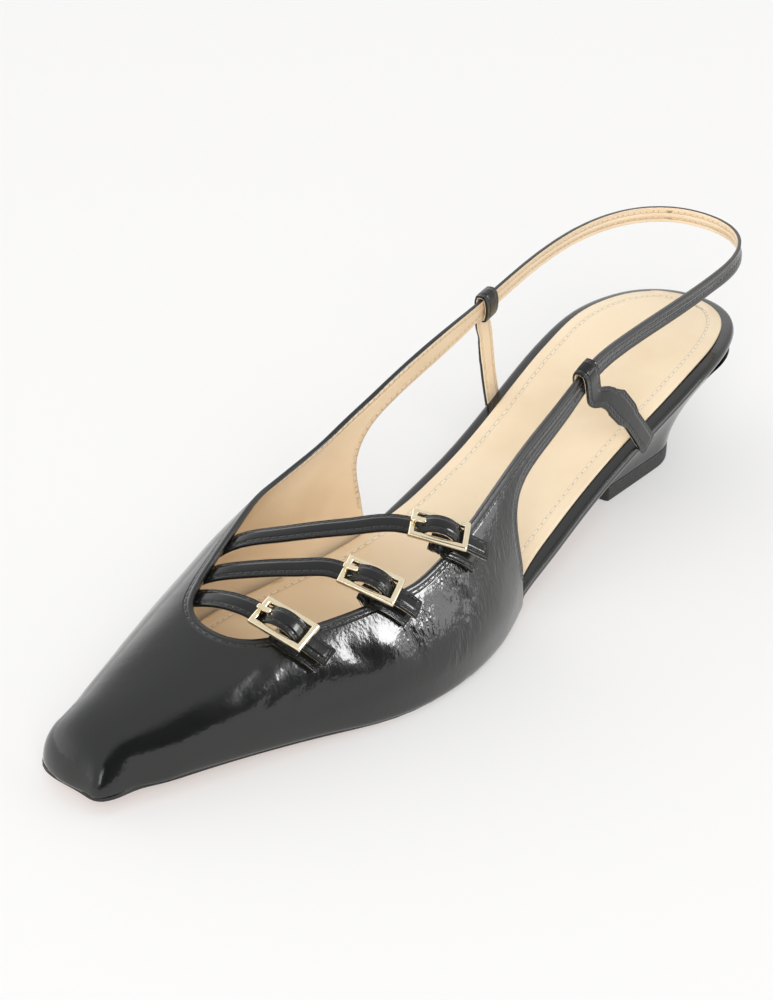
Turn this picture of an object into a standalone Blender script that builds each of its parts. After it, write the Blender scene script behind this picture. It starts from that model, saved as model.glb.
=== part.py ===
"""A left slingback shoe with a square toe, three buckled straps and a low block heel."""
import math

import bpy
import bmesh
import numpy as np
from mathutils import Vector

# Sizes in millimetres. The shoe points along +X, its outer side is +Y, the floor is Z = 0.
MM = 0.001
LENGTH = 263.0
WALL = 1.5
GAP = 0.3
SOLE = 1.8
SOCK = 0.9
TOE_CAP = 9.0
HEEL_CAP = 27.0
BULGE = 1.4
BREAST = 64.0
LIFT = 4.7
STRAP_WIDE = 5.4
STRAP_THICK = 1.2
BASE_THICK = 1.0
STRAP_RISE = 1.0
BASE_SHIFT = 2.2
TIP_LONG = 6.6
TIP_BEND = 0.42
TIP_TURN = 0.12
SLING_THICK = 1.4
FRAME_LONG = 14.9
FRAME_WIDE = 8.7
FRAME_BAR = 1.3
FRAME_THICK = 1.2
ROWS = 9

# The last, one row per station: inner and outer edge, height of the edge, height and
# place of the top line, and how square the outer and inner sides are.
LAST_COLUMNS = ("x", "inner", "outer", "edge_z", "top_z", "top_y", "square_out", "square_in")
LAST = np.array([
    (0.0, -20.0, 20.0, 36.0, 92.0, 0.0, 3.2, 3.2),
    (16.0, -20.8, 21.2, 35.8, 94.0, 0.0, 3.2, 3.2),
    (31.0, -22.5, 23.8, 34.8, 96.0, 0.5, 3.2, 3.2),
    (50.0, -21.8, 25.2, 31.0, 97.0, 1.0, 3.1, 3.1),
    (72.0, -19.2, 25.4, 25.0, 95.0, 1.5, 3.0, 3.0),
    (98.0, -17.0, 26.4, 16.0, 88.0, 0.0, 2.9, 2.8),
    (124.0, -18.5, 30.0, 7.1, 74.0, -3.0, 2.7, 2.6),
    (144.0, -22.8, 35.0, 2.9, 61.0, -5.0, 2.6, 2.4),
    (163.0, -25.6, 37.6, 2.2, 50.5, -6.0, 2.5, 2.3),
    (179.0, -27.8, 36.6, 2.2, 43.5, -6.5, 2.5, 2.2),
    (192.0, -27.8, 33.4, 2.8, 38.5, -7.0, 2.5, 2.2),
    (208.0, -24.9, 27.4, 4.7, 33.0, -7.0, 2.6, 2.1),
    (226.0, -19.8, 20.3, 5.7, 27.0, -6.5, 2.8, 2.2),
    (243.0, -15.9, 13.7, 6.0, 21.5, -5.5, 3.0, 2.4),
    (263.0, -13.8, 7.7, 6.1, 15.0, -4.2, 3.0, 3.0),
])

# Underside of the sole and thickness of the covered board along the shoe.
BED_COLUMNS = ("x", "under_z", "board")
BED = np.array([
    (-2.0, 29.7, 3.3),
    (16.0, 29.5, 3.3),
    (31.0, 28.5, 3.3),
    (50.0, 24.7, 3.3),
    (72.0, 19.0, 3.3),
    (98.0, 11.4, 3.2),
    (124.0, 4.6, 2.8),
    (140.0, 0.9, 2.2),
    (150.0, 0.0, 2.0),
    (168.0, 0.0, 2.0),
    (186.0, 0.0, 2.0),
    (208.0, 2.5, 2.0),
    (226.0, 3.6, 2.0),
    (243.0, 3.9, 2.0),
    (266.0, 4.0, 2.0),
])

# Outer quarter and sling from the back of the heel forward: lower and upper edge.
QUARTER_COLUMNS = ("low_x", "low_z", "high_x", "high_z")
QUARTER_OUT = [
    (34.0, 56.4, 34.0, 63.4),
    (60.0, 56.0, 60.0, 63.0),
    (84.0, 54.8, 84.0, 61.9),
    (95.0, 52.4, 95.5, 59.4),
    (105.0, 48.4, 106.0, 55.0),
    (113.5, 45.6, 117.0, 51.0),
    (122.0, 43.2, 127.5, 47.8),
    (129.5, 40.6, 138.0, 44.4),
    (134.2, 37.0, 145.5, 41.6),
    (136.2, 31.8, 152.5, 38.8),
    (135.8, 25.0, 159.5, 36.2),
    (133.6, 16.5, 166.0, 34.0),
]
QUARTER_IN = [
    (34.0, 56.4, 34.0, 63.4),
    (60.0, 55.6, 60.0, 62.8),
    (84.0, 53.6, 84.0, 61.2),
    (95.0, 52.0, 95.5, 60.3),
    (104.5, 50.4, 105.0, 58.8),
    (114.0, 48.6, 115.5, 56.3),
    (123.0, 45.8, 125.5, 52.8),
    (130.0, 42.0, 134.0, 48.8),
    (134.0, 37.0, 142.0, 45.4),
    (135.6, 31.2, 149.0, 42.0),
    (135.0, 25.0, 155.5, 40.4),
    (133.0, 16.5, 162.0, 39.4),
]

# Vamp: place along the lower edge against the place of the upper edge.
VAMP_COLUMNS = ("low_x", "high_x", "high_y")
VAMP_OUT = [
    (132.5, 172.0, 29.9),
    (140.0, 176.5, 29.2),
    (150.0, 181.0, 27.9),
    (161.0, 186.0, 26.2),
    (173.0, 191.5, 24.3),
    (186.0, 197.5, 21.9),
    (200.0, 203.5, 19.3),
    (216.0, 209.5, 16.6),
    (232.0, 215.0, 13.4),
    (246.0, 218.6, 9.8),
    (257.5, 220.3, 5.6),
]
TOE = (263.0, 220.4, 1.0)
VAMP_IN = [
    (131.0, 168.5, -20.1),
    (140.0, 174.5, -18.9),
    (150.0, 180.5, -17.0),
    (161.0, 186.0, -15.0),
    (173.0, 192.0, -13.3),
    (186.0, 197.5, -12.0),
    (200.0, 203.0, -10.7),
    (216.0, 208.2, -9.4),
    (232.0, 212.8, -8.0),
    (246.0, 216.6, -6.2),
    (257.5, 219.2, -3.0),
]

# Buckles: middle of the frame, heading across the foot, dip to the outer side and roll.
BUCKLE_COLUMNS = ("x", "y", "z", "heading", "dip", "roll")
BUCKLES = [
    (210.6, 17.5, 32.0, 98.0, 14.0, 18.0),
    (186.9, 25.3, 36.0, 112.0, 17.0, 17.5),
    (164.5, 29.0, 41.6, 124.0, 14.0, 18.0),
]
# Roots of the straps under the inner edge: start inside, then where they come out.
ROOT_COLUMNS = ("in_x", "in_y", "out_x", "out_y")
ROOTS = [
    (213.6, -16.5, 213.2, -7.0),
    (207.5, -18.5, 205.2, -9.0),
    (198.5, -20.5, 194.6, -11.5),
]
# Side straps: place along the shoe at the seat and at the sling.
SIDE_COLUMNS = ("side", "seat_x", "top_x")
SIDES = [("outer", 66.0, 96.5), ("inner", 72.0, 81.5)]
SIDE_WIDE = 6.4

for stale in list(bpy.data.objects):
    bpy.data.objects.remove(stale, do_unlink=True)


def smooth(xs, ys, x):
    """Cubic curve through a column of a table."""
    xs = np.asarray(xs, float)
    ys = np.asarray(ys, float)
    step = np.diff(xs)
    slope = np.diff(ys) / step
    tangent = np.empty_like(ys)
    tangent[0] = slope[0]
    tangent[-1] = slope[-1]
    tangent[1:-1] = (slope[:-1] * step[1:] + slope[1:] * step[:-1]) / (step[1:] + step[:-1])
    x = np.clip(np.asarray(x, float), xs[0], xs[-1])
    i = np.clip(np.searchsorted(xs, x) - 1, 0, len(xs) - 2)
    t = (x - xs[i]) / step[i]
    a = (2 * t**3 - 3 * t**2 + 1) * ys[i] + (t**3 - 2 * t**2 + t) * step[i] * tangent[i]
    return a + (3 * t**2 - 2 * t**3) * ys[i + 1] + (t**3 - t**2) * step[i] * tangent[i + 1]


def ease(t):
    """Soft step from 0 to 1."""
    t = np.clip(t, 0.0, 1.0)
    return t * t * (3 - 2 * t)


def last(name, x):
    return smooth(LAST[:, 0], LAST[:, LAST_COLUMNS.index(name)], x)


def bed(name, x):
    return np.maximum(smooth(BED[:, 0], BED[:, BED_COLUMNS.index(name)], x), 0.0)


def toe_share(x):
    """How far a station is into the rounded toe, 0 to 1."""
    return np.clip((x - (LENGTH - TOE_CAP)) / TOE_CAP, 0.0, 1.0)


def half_and_power(x, y):
    out = y >= last("top_y", x)
    half = np.where(out, last("outer", x) - last("top_y", x), last("top_y", x) - last("inner", x))
    return half, np.where(out, last("square_out", x), last("square_in", x))


def height(x, y):
    """Top of the last over a place in plan."""
    half, power = half_and_power(x, y)
    share = np.abs(y - last("top_y", x)) / half
    left = np.clip(1 - share**power - toe_share(x)**3, 0.0, 1.0)
    return last("edge_z", x) + (last("top_z", x) - last("edge_z", x)) * left**(1 / power)


def side(x, z, outer):
    """Side of the last at a height."""
    power = last("square_out", x) if outer else last("square_in", x)
    edge = last("outer", x) if outer else last("inner", x)
    rise = np.clip((z - last("edge_z", x)) / (last("top_z", x) - last("edge_z", x)), 0.0, 1.0)
    left = np.clip(1 - rise**power - toe_share(x)**3, 0.0, 1.0)
    return last("top_y", x) + (edge - last("top_y", x)) * left**(1 / power)


def fullness(x, z):
    rise = np.clip((z - last("edge_z", x)) / 22.0, 0.0, 1.0)
    return BULGE * np.sin(np.pi * rise) * ease((x - 128) / 20) * (1 - ease((x - 235) / 25))


def on_last(x, y, lift):
    """A place over the last, lifted along the outward normal."""
    d = 0.25
    z = height(x, y)
    gx = (height(x + d, y) - height(x - d, y)) / (2 * d)
    gy = (height(x, y + d) - height(x, y - d)) / (2 * d)
    n = np.array([-gx, -gy, 1.0])
    n /= np.linalg.norm(n)
    full = math.copysign(float(fullness(x, z)), y - float(last("top_y", x)))
    return np.array([x, y + full, float(z)]) + lift * n, n


def girth(p):
    """1 on the side of the last with its fullness, more outside it."""
    x, y, z = p
    y = y - math.copysign(float(fullness(x, z)), y - float(last("top_y", x)))
    half, power = half_and_power(x, y)
    across = abs(y - float(last("top_y", x))) / float(half)
    rise = max(z - float(last("edge_z", x)), 0.0) / float(last("top_z", x) - last("edge_z", x))
    return (across**float(power) + rise**float(power))**(1 / float(power))


def away(p):
    """Slope of the girth, which points away from the last."""
    d = 0.05
    return np.array([(girth(p + d * a) - girth(p - d * a)) / (2 * d) for a in np.eye(3)])


def off_last(p):
    """Rough distance of a place from the last."""
    return (girth(p) - 1) / np.linalg.norm(away(p))


def drop(p, up, lift):
    """How far a place can go down before it is a given distance from the last."""
    low, high = 0.0, 16.0
    if off_last(p) <= lift:
        return 0.0
    for _ in range(24):
        mid = (low + high) / 2
        if off_last(p - up * mid) > lift:
            low = mid
        else:
            high = mid
    return low


def edges(x, grow):
    """Inner and outer edge of the bed at a station, grown all round."""
    u = (x - LENGTH / 2) * LENGTH / (LENGTH + 2 * grow) + LENGTH / 2
    toe = (1 - toe_share(u)**3)**(1 / 3.0)
    back = np.clip((HEEL_CAP - u) / HEEL_CAP, 0.0, 1.0)
    heel = (1 - back**2.3)**(1 / 2.3)
    middle = (last("inner", u) + last("outer", u)) / 2
    mid = np.where(u > LENGTH / 2, last("top_y", u), middle)
    low = mid + (last("inner", u) - grow - mid) * toe * heel
    high = mid + (last("outer", u) + grow - mid) * toe * heel
    return low, high


def materials():
    made = {}
    for name, colour, metal, rough in (
            ("black_leather", (0.012, 0.012, 0.013, 1.0), 0.0, 0.28),
            ("beige_leather", (0.72, 0.55, 0.36, 1.0), 0.0, 0.55),
            ("tan_sole", (0.42, 0.24, 0.15, 1.0), 0.0, 0.5),
            ("pale_gold", (0.83, 0.68, 0.40, 1.0), 1.0, 0.22),
            ("black_rubber", (0.02, 0.02, 0.02, 1.0), 0.0, 0.7)):
        slot = bpy.data.materials.new(name)
        slot.use_nodes = True
        shade = slot.node_tree.nodes["Principled BSDF"]
        shade.inputs["Base Color"].default_value = colour
        shade.inputs["Metallic"].default_value = metal
        shade.inputs["Roughness"].default_value = rough
        made[name] = slot
    return made


SLOTS = materials()
MADE = []


def solid(name, points, faces, slot):
    """One closed solid from points in millimetres."""
    mesh = bpy.data.meshes.new(name)
    mesh.from_pydata([tuple(float(c) * MM for c in p) for p in points], [], faces)
    work = bmesh.new()
    work.from_mesh(mesh)
    bmesh.ops.remove_doubles(work, verts=work.verts, dist=0.00001)
    bmesh.ops.dissolve_degenerate(work, dist=0.000005, edges=work.edges)
    bmesh.ops.recalc_face_normals(work, faces=work.faces)
    bmesh.ops.triangulate(work, faces=work.faces)
    if work.calc_volume(signed=True) < 0:
        bmesh.ops.reverse_faces(work, faces=work.faces)
    work.to_mesh(mesh)
    work.free()
    piece = bpy.data.objects.new(name, mesh)
    bpy.context.scene.collection.objects.link(piece)
    mesh.materials.append(SLOTS[slot])
    MADE.append(piece)
    return piece


def loft(name, loops, slot):
    """A solid through closed loops of equal length, with its two ends capped."""
    count = len(loops[0])
    points = [p for loop in loops for p in loop]
    faces = []
    for i in range(len(loops) - 1):
        for j in range(count):
            k = (j + 1) % count
            faces.append((i * count + j, i * count + k, (i + 1) * count + k, (i + 1) * count + j))
    faces.append(tuple(range(count - 1, -1, -1)))
    faces.append(tuple((len(loops) - 1) * count + j for j in range(count)))
    return solid(name, points, faces, slot)


def bed_stations(grow, count=42):
    """Stations along the bed, close together at the round ends."""
    t = np.linspace(0.0, 1.0, count)
    t = 0.5 - 0.5 * np.cos(np.pi * t)
    t = 0.45 * t + 0.55 * (0.5 - 0.5 * np.cos(np.pi * t))
    start = -grow + 0.03
    return start + t * (LENGTH + grow - 0.03 - start)


def slab(name, grow, low, high, slot, round_off=0.0):
    """A layer of the bed between two heights, with softened long edges."""
    loops = []
    across = np.linspace(0.0, 1.0, 4)
    reach = max(grow(40.0), grow(200.0))
    for x in bed_stations(reach):
        g = float(grow(x))
        u = LENGTH / 2 + (x - LENGTH / 2) * (LENGTH + 2 * g) / (LENGTH + 2 * reach)
        a, b = (float(e) for e in edges(u, g))
        z0 = float(low(u))
        z1 = float(high(u))
        r = min(round_off, (b - a) * 0.2)
        loop = [(u, a + r + (b - a - 2 * r) * s, z0) for s in across]
        if r > 0:
            loop += [(u, b, z0 + 0.45 * (z1 - z0)), (u, b - 0.12 * r, z1 - 0.2 * (z1 - z0))]
        loop += [(u, b - r * 0.6 - (b - a - 1.2 * r) * s, z1) for s in across]
        if r > 0:
            loop += [(u, a + 0.12 * r, z1 - 0.2 * (z1 - z0)), (u, a, z0 + 0.45 * (z1 - z0))]
        loops.append(loop)
    return loft(name, loops, slot)


def sole_grow(x):
    """The sole is nearly flush with the upper in front and set in under the waist and heel."""
    return 0.9 - 3.4 * (1 - ease((x - 112.0) / 26.0))


def board_grow(x):
    """The board is inside the upper in front and shows its edge behind the quarters."""
    return -0.5 + 1.3 * (1 - ease((x - 118.0) / 11.0))


def board_low(x):
    return bed("under_z", x) + SOLE + GAP


def board_high(x):
    return board_low(x) + bed("board", x)


def make_bed():
    slab("outsole", sole_grow, lambda x: bed("under_z", x),
         lambda x: bed("under_z", x) + SOLE, "tan_sole")
    slab("insole_board", board_grow, board_low, board_high, "black_leather", 0.9)
    slab("sock", lambda x: board_grow(x) - 0.9, lambda x: board_high(x) + GAP,
         lambda x: board_high(x) + GAP + SOCK, "beige_leather")


def heel_loop(x0, x1, y0, y1, square):
    """A round back and a flat front, as a plan loop."""
    back = [(-math.cos(a), math.sin(a)) for a in np.linspace(-math.pi / 2, math.pi / 2, 19)]
    mid = (y0 + y1) / 2
    half = (y1 - y0) / 2
    depth = min(half * 1.1, (x1 - x0) * 0.6)
    loop = []
    for c, s in back:
        loop.append((x0 + depth + c * depth, mid + half * math.copysign(abs(s)**square, s)))
    front = [(x1 - 1.0, y1), (x1, y1 - 1.2), (x1, mid), (x1, y0 + 1.2), (x1 - 1.0, y0)]
    steps = []
    for i in range(1, 4):
        steps.append((x0 + depth + (x1 - 1.0 - x0 - depth) * i / 4.0, y1))
    rest = [(x, y0) for x, _ in reversed(steps)]
    return loop + steps + front + rest


def make_heel():
    top = heel_loop(0.6, BREAST, -21.6, 23.6, 0.9)
    foot = heel_loop(25.0, BREAST + 2.0, -11.5, 15.5, 0.9)
    loops = []
    for share in (0.45, 0.8, 1.0):
        cx = np.mean([p[0] for p in top])
        cy = np.mean([p[1] for p in top])
        ring = [(cx + (x - cx) * share, cy + (y - cy) * share) for x, y in top]
        loops.append([(x, y, float(bed("under_z", x)) - GAP) for x, y in ring])
    for s in np.linspace(0.0, 1.0, 9)[1:]:
        k = 1 - (1 - s)**1.7
        ring = []
        for (xa, ya), (xb, yb) in zip(top, foot):
            z_top = float(bed("under_z", xa)) - GAP
            z = z_top + (LIFT + GAP - z_top) * s
            ring.append((xa + (xb - xa) * k, ya + (yb - ya) * k, z))
        loops.append(ring)
    loft("heel", loops, "black_leather")
    loft("heel_tip", [[(x, y, z) for x, y in foot] for z in (0.0, LIFT)], "black_rubber")


def lower_edge():
    """Plan of the lower edge of the upper round the toe, with its running length."""
    straight = np.linspace(120.0, LENGTH - TOE_CAP, 140)
    round_toe = LENGTH - TOE_CAP * (1 - np.linspace(0, 1, 120)**0.5)
    x = np.r_[straight, round_toe]
    out = np.stack([x, side(x, last("edge_z", x), True)], -1)
    inn = np.stack([x, side(x, last("edge_z", x), False)], -1)
    loop = np.vstack([out, inn[::-1][1:]])
    run = np.r_[0, np.cumsum(np.linalg.norm(np.diff(loop, axis=0), axis=1))]
    return loop, run, len(out) - 1


def spread(rows, count):
    """Smooth columns through table rows, evenly spaced by row number."""
    rows = np.asarray(rows, float)
    at = np.linspace(0, len(rows) - 1, count)
    return np.stack([smooth(np.arange(len(rows)), rows[:, k], at) for k in range(rows.shape[1])], -1)


def even(path, count):
    """Points evenly spaced along a path."""
    run = np.r_[0, np.cumsum(np.linalg.norm(np.diff(path, axis=0), axis=1))]
    at = np.linspace(0, run[-1], count)
    return np.stack([np.interp(at, run, path[:, k]) for k in range(3)], -1)


def bulged(path, outer):
    """Fuller sides a little above the lower edge of the vamp."""
    push = fullness(path[:, 0], path[:, 2])
    return path + np.stack([0 * push, push if outer else -push, 0 * push], -1)


def quarter_column(row, outer):
    t = np.linspace(0, 1, 60)
    x = row[0] + (row[2] - row[0]) * t
    z = row[1] + (row[3] - row[1]) * t
    return np.stack([x, side(x, z, outer), z], -1)


def sling_back(angle):
    """Plan of the sling round the back of the heel, 0 behind to 90 degrees at the side."""
    reach = 34.0
    c = math.cos(angle)**(2 / 2.3)
    s = math.sin(angle)**(2 / 2.3)
    return reach - (reach + 1.0) * c, s


def vamp_column(low, high, outer):
    """A line over the last from a place on the lower edge to a place on the upper edge."""
    t = np.linspace(0, 1, 200)
    px = low[0] + (high[0] - low[0]) * t**2
    py = low[1] + (high[1] - low[1]) * t**2
    flat = even(np.stack([px, py, height(px, py)], -1), 80)
    half, power = half_and_power(np.array([high[0]]), np.array([high[1]]))
    share = min(abs(high[1] - float(last("top_y", high[0]))) / float(half[0]), 1.0)
    top = math.acos(share**(float(power[0]) / 2))
    x = low[0] + (high[0] - low[0]) * t
    n = last("square_out", x) if outer else last("square_in", x)
    edge = last("outer", x) if outer else last("inner", x)
    rise = last("top_z", x) - last("edge_z", x)
    turn = np.arcsin(np.clip(t * math.sin(top)**(2 / n), 0, 1)**(n / 2))
    keep = float(1 - ease((low[0] - 135.0) / 45.0))
    turn = turn * keep + top * t * (1 - keep)
    y = last("top_y", x) + (edge - last("top_y", x)) * np.cos(turn)**(2 / n)
    z = last("edge_z", x) + rise * np.sin(turn)**(2 / n)
    over = even(np.stack([x, y, z], -1), 80)
    w = float(ease((low[0] - 222.0) / 32.0))
    both = over * (1 - w) + flat * w
    if 0 < w < 1:
        both[3:, 2] = height(both[3:, 0], both[3:, 1])
    return both


def upper_grid():
    """Columns of the upper all round, from its lower to its upper edge."""
    columns = []
    back = QUARTER_OUT[0]
    for angle in np.linspace(0, math.pi / 2, 9)[:-1]:
        x, s = sling_back(angle)
        y = s * float(side(34.0, 60.0, True))
        columns.append(np.stack([np.full(2, x), np.full(2, y), np.array([back[1], back[3]])], -1))
    for row in spread(QUARTER_OUT, 34):
        columns.append(quarter_column(row, True))
    loop, run, tip = lower_edge()
    rows = []
    for low_x, high_x, high_y in VAMP_OUT:
        rows.append((np.interp(low_x, loop[:tip + 1, 0], run[:tip + 1]), high_x, high_y))
    rows.append((run[tip], TOE[1], TOE[2]))
    for low_x, high_x, high_y in VAMP_IN[::-1]:
        rows.append((np.interp(low_x, loop[tip:, 0][::-1], run[tip:][::-1]), high_x, high_y))
    for s, hx, hy in spread(rows, 61):
        low = (np.interp(s, run, loop[:, 0]), np.interp(s, run, loop[:, 1]))
        columns.append(bulged(vamp_column(low, (hx, hy), s <= run[tip]), s <= run[tip]))
    for row in spread(QUARTER_IN, 34)[::-1]:
        columns.append(quarter_column(row, False))
    for angle in np.linspace(0, math.pi / 2, 9)[1:-1][::-1]:
        x, s = sling_back(angle)
        y = s * float(side(34.0, 60.0, False))
        columns.append(np.stack([np.full(2, x), np.full(2, y), np.array([back[1], back[3]])], -1))
    grid = np.array([even(c, ROWS) for c in columns])
    for _ in range(3):
        soft = (np.roll(grid, 1, 0) + 2 * grid + np.roll(grid, -1, 0)) / 4
        grid[:, 3:] = soft[:, 3:]
    return grid


def grid_normals(grid):
    along = np.roll(grid, -1, 0) - np.roll(grid, 1, 0)
    up = np.gradient(grid, axis=1)
    n = np.cross(along, up)
    n /= np.linalg.norm(n, axis=-1, keepdims=True)
    return n


def make_upper():
    grid = upper_grid()
    normal = grid_normals(grid)
    if np.mean(normal[:9, :, 0]) > 0:
        normal = -normal
    outer = grid + WALL * normal
    count, rows = grid.shape[:2]
    points = np.vstack([grid.reshape(-1, 3), outer.reshape(-1, 3)])
    shift = count * rows
    faces = []
    for i in range(count):
        k = (i + 1) % count
        for j in range(rows - 1):
            quad = (i * rows + j, k * rows + j, k * rows + j + 1, i * rows + j + 1)
            faces.append(quad)
            faces.append(tuple(q + shift for q in reversed(quad)))
        faces.append((k * rows, i * rows, i * rows + shift, k * rows + shift))
        a = i * rows + rows - 1
        b = k * rows + rows - 1
        faces.append((a, b, b + shift, a + shift))
    solid("upper", points, faces, "black_leather")


def ribbon(name, path, flat, wide, thick, slot):
    """A flat band along a path, its broad face across the given normals."""
    path = np.asarray(path, float)
    flat = np.asarray(flat, float)
    ahead = np.gradient(path, axis=0)
    ahead /= np.linalg.norm(ahead, axis=1, keepdims=True)
    across = np.cross(ahead, flat)
    across /= np.linalg.norm(across, axis=1, keepdims=True)
    face = np.cross(across, ahead)
    loops = []
    for p, c, f in zip(path, across, face):
        loop = []
        for a, b in ((-1, -1), (1, -1), (1, 1), (-1, 1)):
            loop.append(p + c * a * wide / 2 + f * b * thick / 2)
        loops.append(loop)
    return loft(name, loops, slot)


def soft_path(points, count):
    """A smooth path through a few places."""
    points = np.asarray(points, float)
    run = np.r_[0, np.cumsum(np.linalg.norm(np.diff(points, axis=0), axis=1))]
    at = np.linspace(0, run[-1], count)
    return np.stack([smooth(run, points[:, k], at) for k in range(points.shape[1])], -1)


def frame_axes(row):
    heading, dip, roll = (math.radians(v) for v in row[3:6])
    forward = np.array([math.cos(heading), math.sin(heading), 0.0])
    along = forward * math.cos(dip) - np.array([0.0, 0.0, math.sin(dip)])
    level = np.array([math.sin(heading), -math.cos(heading), 0.0])
    up = np.cross(level, along)
    across = math.cos(roll) * level - math.sin(roll) * up
    return np.array(row[:3]), along, across, np.cross(across, along)


def make_frame(name, row):
    """Rectangular buckle frame with a square bar."""
    mid, along, across, up = frame_axes(row)
    bevel = 0.25
    section = ((0.0, -0.5), (0.0, 0.5 - bevel), (bevel, 0.5))
    section += tuple((FRAME_BAR - inset, level) for inset, level in reversed(section))
    loops = []
    for a, c in ((1, 1), (-1, 1), (-1, -1), (1, -1)):
        loop = []
        for inset, level in section:
            p = mid + along * a * (FRAME_LONG / 2 - inset) + up * level * FRAME_THICK
            loop.append(p + across * c * (FRAME_WIDE / 2 - inset))
        loops.append(loop)
    count = len(loops[0])
    points = [p for loop in loops for p in loop]
    faces = []
    for i in range(4):
        for j in range(count):
            k = (j + 1) % count
            n = (i + 1) % 4
            faces.append((i * count + j, i * count + k, n * count + k, n * count + j))
    solid(name, points, faces, "pale_gold")


def strap_stops():
    """Places of a strap in its buckle, as distance along the frame and height over it."""
    half = FRAME_LONG / 2 - FRAME_BAR / 2
    under = -(FRAME_THICK / 2 + GAP + STRAP_THICK / 2)
    rise = [(-half - 2.2, under - 0.1), (-half, under), (-half + 1.4, under + 0.2), (-half + 3.4, 0.9)]
    fall = [(half - 3.4, 1.1), (half - 1.2, under + 0.1), (half, under - 0.1)]
    return rise + [(-half + 6.6, 2.0)] + fall


def make_strap(index, row, root):
    mid, along, across, up = frame_axes(row)
    inside, n0 = on_last(root[0], root[1], -(GAP + STRAP_THICK / 2) - 0.25)
    edge, n1 = on_last(root[2], root[3], -(GAP + STRAP_THICK / 2) - 0.05)
    places = [mid + along * a + up * h for a, h in strap_stops()]
    bridge = []
    for t in (0.3, 0.65):
        p = edge + (places[0] - edge) * t
        bridge.append(p + np.array([0.0, 0.0, STRAP_RISE * math.sin(math.pi * t)]))
    turns = []
    seat = WALL + 2 * GAP + BASE_THICK + STRAP_THICK / 2 + 0.7
    for far in np.linspace(0.25, 1.0, 4) * TIP_LONG:
        p = places[-1] + along * far - across * far * TIP_TURN
        turns.append(p - up * min(drop(p, up, seat), far * TIP_BEND))
    points = [inside, edge] + bridge + places + turns
    flats = [n0, n1, n1 * 0.6 + up * 0.4, n1 * 0.3 + up * 0.7] + [up] * (len(places) + len(turns))
    both = soft_path(np.hstack([np.array(points), np.array(flats)]), 36)
    ribbon("strap_%d" % index, both[:, :3], both[:, 3:], STRAP_WIDE, STRAP_THICK, "black_leather")


def make_base(index, row):
    """Short strap sewn to the vamp under a buckle."""
    mid, along, across, up = frame_axes(row)
    places = []
    flats = []
    for far in np.linspace(-1.5, FRAME_LONG / 2 + TIP_LONG - 2.0, 8):
        p = mid + along * far + across * BASE_SHIFT - up * 2.0
        p = p - up * drop(p, up, WALL + GAP + BASE_THICK / 2 + 0.2)
        places.append(p)
        flats.append(away(p) / np.linalg.norm(away(p)))
    both = soft_path(np.hstack([np.array(places), np.array(flats)]), 16)
    ribbon("strap_base_%d" % index, both[:, :3], both[:, 3:], STRAP_WIDE, BASE_THICK, "black_leather")


def make_prong(index, row):
    mid, along, across, up = frame_axes(row)
    start = -FRAME_LONG / 2 - 0.1
    level = FRAME_THICK / 2 + GAP + 0.45
    stops = ((0.0, -0.1), (1.2, 0.05), (2.4, 0.1), (3.6, 0.35))
    path = [mid + along * (start + d) + up * (level + h) for d, h in stops]
    ribbon("prong_%d" % index, path, [up] * 4, 1.2, 0.9, "pale_gold")


def make_side(which, seat_x, top_x):
    """Strap from the edge of the board up round the sling."""
    outer = which == "outer"
    sign = 1.0 if outer else -1.0
    table = np.array(QUARTER_OUT if outer else QUARTER_IN)

    def sling(x):
        low = smooth(table[:, 0], table[:, 1], x)
        high = smooth(table[:, 2], table[:, 3], x)
        z = (low + high) / 2
        return np.array([x, float(side(x, z, outer)), float(z)]), float(high - low) / 2

    mid, half = sling(top_x)
    run = sling(top_x + 3.0)[0] - sling(top_x - 3.0)[0]
    run /= np.linalg.norm(run)
    up = np.array([0.0, 0.0, 1.0]) - run * run[2]
    up /= np.linalg.norm(up)
    out = np.cross(run, up)
    out *= sign * np.sign(out[1])
    clear = GAP + SLING_THICK / 2 + 0.2
    half += 0.3
    front = WALL + clear
    rim = half + clear
    turns = [(front, -half - 4.0), (front, -half + 0.5), (front, half - 0.2), (front - 0.3, rim - 0.4)]
    turns += [(WALL / 2, rim), (0.3 - clear, rim - 0.4), (-clear, half - 0.2), (-clear, 0.3 - half)]
    turns += [(0.4 - clear, 0.3 - rim), (WALL * 0.4, -rim)]
    hook = [mid + out * o + up * v for o, v in turns]
    edge = float(edges(seat_x, board_grow(seat_x))[1 if outer else 0])
    foot = np.array([seat_x, edge + sign * clear, float(board_low(seat_x)) + 0.6])
    leg = []
    for s in (0.0, 0.3, 0.62, 0.86):
        bow = math.sin(math.pi * s)
        bend = np.array([(foot[0] - hook[0][0]) * 0.1 * bow, sign * 1.2 * bow, 0.0])
        leg.append(foot + (hook[0] - foot) * s + bend)
    path = soft_path(leg + hook, 40)
    flat = np.cross(run, np.gradient(path, axis=0))
    ribbon("side_strap_%s" % which, path, flat, SIDE_WIDE, SLING_THICK, "black_leather")


def seat_on_floor():
    """Bring the box of the whole shoe to the middle of the floor."""
    low = np.min([v.co for piece in MADE for v in piece.data.vertices], axis=0)
    high = np.max([v.co for piece in MADE for v in piece.data.vertices], axis=0)
    shift = Vector((-(low[0] + high[0]) / 2, -(low[1] + high[1]) / 2, -low[2]))
    for piece in MADE:
        for v in piece.data.vertices:
            v.co += shift
        piece.data.update()
    return shift


make_bed()
make_heel()
make_upper()
for number, (buckle, root) in enumerate(zip(BUCKLES, ROOTS), 1):
    make_frame("buckle_%d" % number, buckle)
    make_prong(number, buckle)
    make_strap(number, buckle, root)
    make_base(number, buckle)
for which, seat_x, top_x in SIDES:
    make_side(which, seat_x, top_x)
SHIFT = seat_on_floor()
print("moved by", [round(c / MM, 3) for c in SHIFT])
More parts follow.
